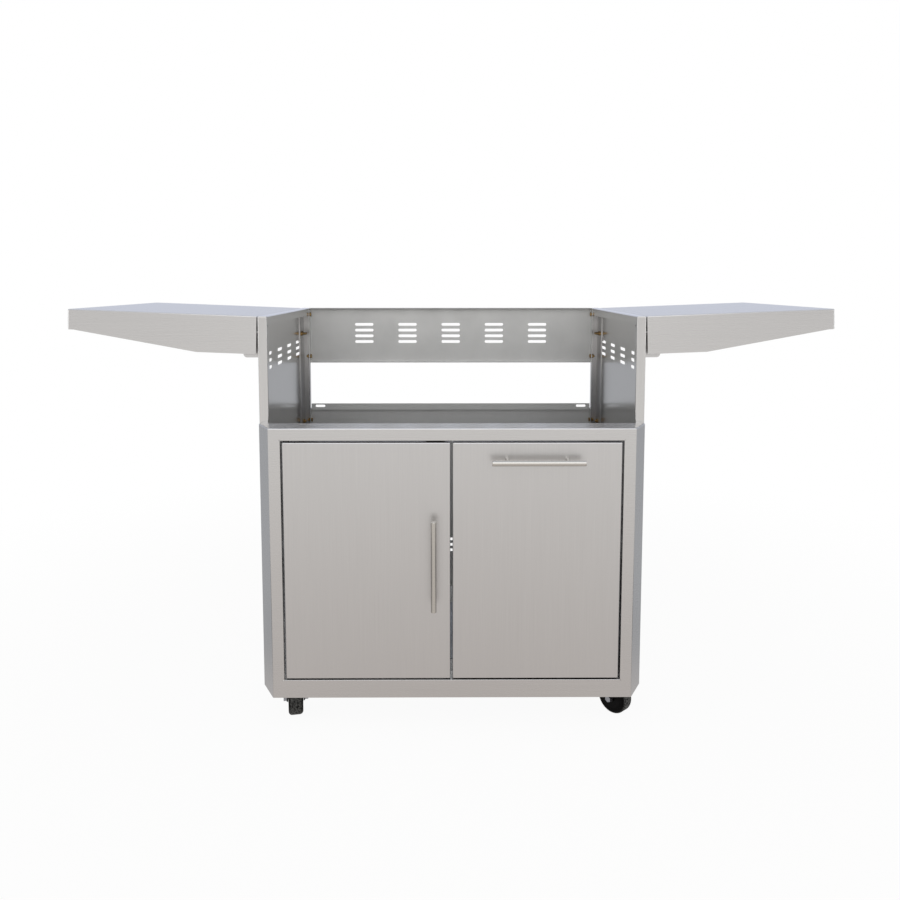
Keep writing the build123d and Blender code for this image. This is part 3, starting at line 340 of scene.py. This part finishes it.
def moulded(name, base, speck, grain, relief, amount, roughness, shine, spread=SPARSE, axle=None):
    """Moulded or coated black parts: an even body colour under a fine skin that breaks
    up the highlight, with specks of dust or wear. Where an axle's direction is given, the
    specks lie on the tread alone, whose surface is square to it."""
    material, tree = blank_material(name)
    begin, full = spread
    place = node(tree, "ShaderNodeTexCoord").outputs["Object"]
    skin = node(tree, "ShaderNodeTexNoise", inputs={
        "Vector": place, "Scale": 1 / grain, "Detail": 4.0, "Roughness": 0.6})
    dusty = node(tree, "ShaderNodeMapRange", {"interpolation_type": "SMOOTHSTEP"}, {
        "Value": skin.outputs["Fac"], "From Min": begin, "From Max": full,
        "To Min": 0.0, "To Max": amount})
    specks = dusty.outputs["Result"]
    if axle:
        facing = node(tree, "ShaderNodeVectorMath", {"operation": "DOT_PRODUCT"}, {
            0: node(tree, "ShaderNodeTexCoord").outputs["Normal"], 1: axle})
        sideways = node(tree, "ShaderNodeMath", {"operation": "ABSOLUTE"}, {
            0: facing.outputs["Value"]})
        tread = node(tree, "ShaderNodeMapRange", inputs={
            "Value": sideways.outputs["Value"], "From Min": TREAD_END, "From Max": SIDE_START,
            "To Min": 1.0, "To Max": 0.0})
        worn = node(tree, "ShaderNodeMath", {"operation": "MULTIPLY"}, {
            0: specks, 1: tread.outputs["Result"]})
        specks = worn.outputs["Value"]
    colour = node(tree, "ShaderNodeMix", {"data_type": "RGBA"}, {
        "Factor": specks, "A": opaque(base), "B": opaque(speck)})
    rough = node(tree, "ShaderNodeMapRange", inputs={
        "Value": skin.outputs["Fac"], "From Min": NOISE_LOW, "From Max": NOISE_HIGH,
        "To Min": roughness - CLEARER, "To Max": roughness + DULLER})
    relieved = node(tree, "ShaderNodeBump", inputs={
        "Strength": 0.3, "Distance": relief, "Height": skin.outputs["Fac"]})
    surface = node(tree, "ShaderNodeBsdfPrincipled", inputs={
        "Specular IOR Level": shine, "Base Color": colour.outputs["Result"],
        "Roughness": rough.outputs["Result"], "Normal": relieved.outputs["Normal"]})
    node(tree, "ShaderNodeOutputMaterial", inputs={"Surface": surface.outputs["BSDF"]})
    return material


def seen_rays(tree):
    """Socket that is 1 for the rays that show the surround: camera, glossy and transmission."""
    path = node(tree, "ShaderNodeLightPath")
    both = node(tree, "ShaderNodeMath", {"operation": "MAXIMUM"}, {
        0: path.outputs["Is Camera Ray"], 1: path.outputs["Is Glossy Ray"]})
    every = node(tree, "ShaderNodeMath", {"operation": "MAXIMUM"}, {
        0: both.outputs["Value"], 1: path.outputs["Is Transmission Ray"]})
    return every.outputs["Value"]


def white_to_camera(tree, mirrored):
    """Socket that is white for the camera and the given colour for reflections."""
    path = node(tree, "ShaderNodeLightPath")
    mix = node(tree, "ShaderNodeMix", {"data_type": "RGBA"}, {
        "Factor": path.outputs["Is Camera Ray"], "A": mirrored, "B": WHITE})
    return mix.outputs["Result"]


def floor_paint(studio):
    """Matt painted floor: white to the camera apart from the cart's shadow. In reflections it carries
    painted shade: a painted shadow close by, painted shade behind the cart and a painted dark patch at
    each side that darkens the edges of the bars."""
    material, tree = blank_material("floor_matt_paint")
    place = node(tree, "ShaderNodeTexCoord").outputs["Object"]
    away = node(tree, "ShaderNodeVectorMath", {"operation": "LENGTH"}, {0: place})
    fade = node(tree, "ShaderNodeMapRange", {"interpolation_type": "SMOOTHSTEP"}, {
        "Value": away.outputs["Value"], "From Min": SHADOW_REACH[0], "From Max": SHADOW_REACH[1],
        "To Min": SHADOW_WHITE, "To Max": 1.0})
    share = node(tree, "ShaderNodeMath", {"operation": "MULTIPLY"}, {
        0: fade.outputs["Result"], 1: seen_rays(tree)})
    matt = node(tree, "ShaderNodeBsdfDiffuse", inputs={"Color": opaque(studio.floor)})
    # Painted shadow in reflections: the mirrored floor is darker close to the cart and lighter further
    # off
    reach = node(tree, "ShaderNodeMapRange", inputs={
        "Value": away.outputs["Value"], "From Min": PAINTED_SHADOW_REACH[0], "From Max": PAINTED_SHADOW_REACH[1]})
    mirrored = node(tree, "ShaderNodeMix", {"data_type": "RGBA"}, {
        "Factor": reach.outputs["Result"],
        "A": opaque(studio.floor_painted_shadow), "B": opaque(studio.floor_far)})
    spot = node(tree, "ShaderNodeSeparateXYZ", inputs={"Vector": place})
    # Painted shade in reflections: the mirrored floor darkens behind the cart
    back_shade_mask = node(tree, "ShaderNodeMapRange", {"interpolation_type": "SMOOTHSTEP"}, {
        "Value": spot.outputs["Y"], "From Min": PAINTED_BACK_SHADE_REACH[0], "From Max": PAINTED_BACK_SHADE_REACH[1]})
    back_shaded = node(tree, "ShaderNodeMix", {"data_type": "RGBA"}, {
        "Factor": back_shade_mask.outputs["Result"],
        "A": mirrored.outputs["Result"], "B": opaque(studio.floor_painted_back_shade)})
    # Painted shade in reflections: a dark patch at each side, mirrored as dark edges on the bars
    across = node(tree, "ShaderNodeMath", {"operation": "ABSOLUTE"}, {0: spot.outputs["X"]})
    folded = node(tree, "ShaderNodeCombineXYZ", inputs={
        "X": across.outputs["Value"], "Y": spot.outputs["Y"]})
    aside = node(tree, "ShaderNodeVectorMath", {"operation": "DISTANCE"}, {
        0: folded.outputs["Vector"], 1: PAINTED_SIDE_SHADE_PLACE})
    side_shade_mask = node(tree, "ShaderNodeMapRange", {"interpolation_type": "SMOOTHSTEP"}, {
        "Value": aside.outputs["Value"], "From Min": PAINTED_SIDE_SHADE_REACH[0], "From Max": PAINTED_SIDE_SHADE_REACH[1],
        "To Min": 1.0, "To Max": 0.0})
    side_shaded = node(tree, "ShaderNodeMix", {"data_type": "RGBA"}, {
        "Factor": side_shade_mask.outputs["Result"],
        "A": back_shaded.outputs["Result"], "B": opaque(studio.floor_painted_side_shade)})
    white = node(tree, "ShaderNodeEmission", inputs={
        "Color": white_to_camera(tree, side_shaded.outputs["Result"]), "Strength": 1.0})
    mixed = node(tree, "ShaderNodeMixShader", inputs={
        0: share.outputs["Value"], 1: matt.outputs["BSDF"], 2: white.outputs["Emission"]})
    node(tree, "ShaderNodeOutputMaterial", inputs={"Surface": mixed.outputs["Shader"]})
    return material


def dress(names, material):
    """Gives the material to CAD nodes."""
    for name in names:
        slots = frame["nodes"][name].data.materials
        slots.clear()
        slots.append(material)


def break_edges(names, width):
    """Small chamfer on the sharp edges of CAD nodes, as a modifier."""
    for name in names:
        bevel = frame["nodes"][name].modifiers.new("broken_edge", "BEVEL")
        bevel.width = width
        bevel.segments = 2
        bevel.limit_method = "ANGLE"
        bevel.angle_limit = BEVEL_ANGLE
        bevel.use_clamp_overlap = True
        bevel.harden_normals = True


class GRILLCART_OT_sheets(bpy.types.Operator):
    """Brushed stainless on the folded sheets, mill finish on the rear and inner ones"""

    bl_idname = "grillcart.sheets"
    bl_label = "Folded sheets"

    def execute(self, context):
        finishes = context.scene.grillcart_finishes
        for axis, names in SHEETS.items():
            name = f"stainless_brushed_{axis.lower()}"
            dress(names, brushed_stainless(name, axis, finishes, BRUSHED[axis]))
        dress(SIDE_PANELS, brushed_stainless("stainless_brushed_fine", "Z", finishes, BRUSHED_FINE))
        dress(HAZY_SHEETS, mill_stainless("stainless_mill_2b", finishes, HAZY))
        dress(CLEAR_SHEETS, mill_stainless("stainless_mill_2b_clear", finishes, CLEAR))
        break_edges(RAW_EDGED, finishes.edge)
        return {"FINISHED"}


class GRILLCART_OT_handles(bpy.types.Operator):
    """Satin stainless on the bar handles"""

    bl_idname = "grillcart.handles"
    bl_label = "Handles"

    def execute(self, context):
        finishes = context.scene.grillcart_finishes
        for axis, handle in HANDLES.items():
            name = f"stainless_satin_bar_{axis.lower()}"
            dress((f"{handle}_bar",), satin_bar(name, axis, finishes))
        posts = [f"{handle}_posts" for handle in HANDLES.values()]
        dress(posts, satin_bar("stainless_satin_post", "Y", finishes))
        return {"FINISHED"}


class GRILLCART_OT_bolts(bpy.types.Operator):
    """Yellow zinc on the frame bolts and nuts"""

    bl_idname = "grillcart.bolts"
    bl_label = "Frame bolts"

    def execute(self, context):
        finishes = context.scene.grillcart_finishes
        dress(BOLTS, plated_steel(
            "steel_yellow_zinc", finishes.yellow_zinc, finishes.yellow_zinc_bloom,
            crystal=2.5 * MM, roughness=YELLOW_ZINC))
        break_edges(BOLTS, finishes.edge)
        return {"FINISHED"}


class GRILLCART_OT_fittings(bpy.types.Operator):
    """Bright zinc on the slides, plates, pins, screws and axles"""

    bl_idname = "grillcart.fittings"
    bl_label = "Plated fittings"

    def execute(self, context):
        finishes = context.scene.grillcart_finishes
        axles = [f"{corner}_axle" for corner in CORNERS]
        dress((*ZINC_FITTINGS, *axles), plated_steel(
            "steel_bright_zinc", finishes.zinc, finishes.zinc_shade,
            crystal=4 * MM, roughness=BRIGHT_ZINC))
        break_edges(("caster_bolts", "caster_nuts", *axles), finishes.edge)
        return {"FINISHED"}


class GRILLCART_OT_plastics(bpy.types.Operator):
    """Moulded nylon on the hinge bushes and the catch"""

    bl_idname = "grillcart.plastics"
    bl_label = "Bushes and catch"

    def execute(self, context):
        finishes = context.scene.grillcart_finishes
        dress(("door_bushes", "door_catch"), moulded(
            "nylon_black_moulded", finishes.nylon, finishes.dust,
            grain=0.8 * MM, relief=0.06 * MM, amount=0.2, roughness=0.5, shine=0.5))
        break_edges(("door_catch",), finishes.edge)
        return {"FINISHED"}


class GRILLCART_OT_casters(bpy.types.Operator):
    """Coated forks, nylon hubs and rubber tyres"""

    bl_idname = "grillcart.casters"
    bl_label = "Casters"

    def execute(self, context):
        finishes = context.scene.grillcart_finishes
        dress([f"{corner}_fork" for corner in CORNERS], moulded(
            "steel_black_coating", finishes.coating, finishes.dust,
            grain=2 * MM, relief=0.08 * MM, amount=0.1, roughness=0.4, shine=0.3))
        dress([f"{corner}_hub" for corner in CORNERS], moulded(
            "nylon_black_hub", finishes.hub, finishes.dust,
            grain=0.8 * MM, relief=0.06 * MM, amount=0.1, roughness=0.5, shine=0.1))
        axes = {joint["name"]: tuple(joint["axis"]) for joint in frame["joints"]}
        for corner in CORNERS:
            dress((f"{corner}_tyre",), moulded(
                f"rubber_black_moulded_{corner}", finishes.rubber, finishes.tread_dust,
                grain=2.5 * MM, relief=0.1 * MM, amount=1.0, roughness=0.5, shine=0.08,
                spread=DUSTY, axle=axes[f"{corner}_wheel_spin"]))
        return {"FINISHED"}


class GRILLCART_OT_studio(bpy.types.Operator):
    """Pale floor, soft lamps, white surround and the camera"""

    bl_idname = "grillcart.studio"
    bl_label = "Studio"

    def execute(self, context):
        studio = context.scene.grillcart_studio
        context.scene.view_settings.view_transform = "Standard"
        self.lay_floor(context, studio)
        self.surround(context, studio)
        self.hang_lamps(context, studio)
        self.place_camera(context, studio)
        return {"FINISHED"}

    def lay_floor(self, context, studio):
        mesh = bpy.data.meshes.new("studio_floor")
        shape = bmesh.new()
        bmesh.ops.create_circle(shape, cap_ends=True, radius=FLOOR_RADIUS, segments=64)
        shape.to_mesh(mesh)
        shape.free()
        mesh.materials.append(floor_paint(studio))
        floor = bpy.data.objects.new("studio_floor", mesh)
        context.scene.collection.objects.link(floor)

    def surround(self, context, studio):
        world = bpy.data.worlds.new("studio_surround")
        world.use_nodes = True
        context.scene.world = world
        tree = world.node_tree
        tree.nodes.clear()
        soft = node(tree, "ShaderNodeBackground", inputs={"Color": WHITE, "Strength": SOFT_LIGHT})
        heading = node(tree, "ShaderNodeSeparateXYZ", inputs={
            "Vector": node(tree, "ShaderNodeTexCoord").outputs["Generated"]})
        # Each wall takes over from the ones before it where the heading passes from begin to end
        walls = (
            ("Y", -1.0, -0.5, "LINEAR", studio.side_wall),
            ("Y", 0.1, 0.65, "SMOOTHSTEP", studio.back_wall),
            ("Z", 0.3, 0.8, "SMOOTHSTEP", studio.ceiling),
        )
        wall = opaque(studio.front_wall)
        for axis, begin, end, blend, colour in walls:
            factor = node(tree, "ShaderNodeMapRange", {"interpolation_type": blend}, {
                "Value": heading.outputs[axis], "From Min": begin, "From Max": end})
            mix = node(tree, "ShaderNodeMix", {"data_type": "RGBA"}, {
                "Factor": factor.outputs["Result"], "A": wall, "B": opaque(colour)})
            wall = mix.outputs["Result"]
        white = node(tree, "ShaderNodeBackground", inputs={
            "Color": white_to_camera(tree, wall), "Strength": 1.0})
        mixed = node(tree, "ShaderNodeMixShader", inputs={
            0: seen_rays(tree), 1: soft.outputs["Background"], 2: white.outputs["Background"]})
        node(tree, "ShaderNodeOutputWorld", inputs={"Surface": mixed.outputs["Shader"]})

    def hang_lamps(self, context, studio):
        x, y, z = FILL_PLACE
        lamps = (
            ("key_lamp", KEY_PLACE, KEY_SIZE, studio.key_power),
            ("left_fill", (-x, y, z), FILL_SIZE, studio.fill_power),
            ("right_fill", (x, y, z), FILL_SIZE, studio.fill_power),
        )
        for name, place, size, power in lamps:
            light = bpy.data.lights.new(name, "AREA")
            light.shape = "SQUARE"
            light.size = size
            light.energy = power
            lamp = bpy.data.objects.new(name, light)
            lamp.location = place
            aim = Vector(LAMP_TARGET) - Vector(place)
            lamp.rotation_euler = aim.to_track_quat("-Z", "Y").to_euler()
            context.scene.collection.objects.link(lamp)

    def place_camera(self, context, studio):
        lens = bpy.data.cameras.new("photo_camera")
        lens.lens = studio.lens
        lens.sensor_width = SENSOR_WIDTH
        lens.shift_y = studio.rise
        lens.dof.use_dof = False
        camera = bpy.data.objects.new("photo_camera", lens)
        camera.location = studio.camera_place
        camera.rotation_euler = (math.pi / 2 - studio.camera_pitch, 0, -studio.camera_yaw)
        context.scene.collection.objects.link(camera)
        context.scene.camera = camera


OPERATORS = (
    GRILLCART_OT_sheets,
    GRILLCART_OT_handles,
    GRILLCART_OT_bolts,
    GRILLCART_OT_fittings,
    GRILLCART_OT_plastics,
    GRILLCART_OT_casters,
    GRILLCART_OT_studio,
)


class GRILLCART_PT_panel(bpy.types.Panel):
    """Lists the cart's pieces and their settings"""

    bl_idname = "GRILLCART_PT_panel"
    bl_label = "Grill cart"
    bl_space_type = "VIEW_3D"
    bl_region_type = "UI"
    bl_category = "Grill cart"

    def draw(self, context):
        for operator in OPERATORS:
            self.layout.operator(operator.bl_idname)
        for group in (context.scene.grillcart_finishes, context.scene.grillcart_studio):
            box = self.layout.box()
            for name in group.bl_rna.properties.keys():
                if name not in ("rna_type", "name"):
                    box.prop(group, name)


CLASSES = (GRILLCART_PG_finishes, GRILLCART_PG_studio, *OPERATORS, GRILLCART_PT_panel)


def register():
    for cls in CLASSES:
        bpy.utils.register_class(cls)
    bpy.types.Scene.grillcart_finishes = PointerProperty(type=GRILLCART_PG_finishes)
    bpy.types.Scene.grillcart_studio = PointerProperty(type=GRILLCART_PG_studio)


def unregister():
    del bpy.types.Scene.grillcart_studio
    del bpy.types.Scene.grillcart_finishes
    for cls in reversed(CLASSES):
        bpy.utils.unregister_class(cls)


def main():
    register()
    bpy.ops.grillcart.sheets()
    bpy.ops.grillcart.handles()
    bpy.ops.grillcart.bolts()
    bpy.ops.grillcart.fittings()
    bpy.ops.grillcart.plastics()
    bpy.ops.grillcart.casters()
    bpy.ops.grillcart.studio()


if __name__ == "__main__":
    main()
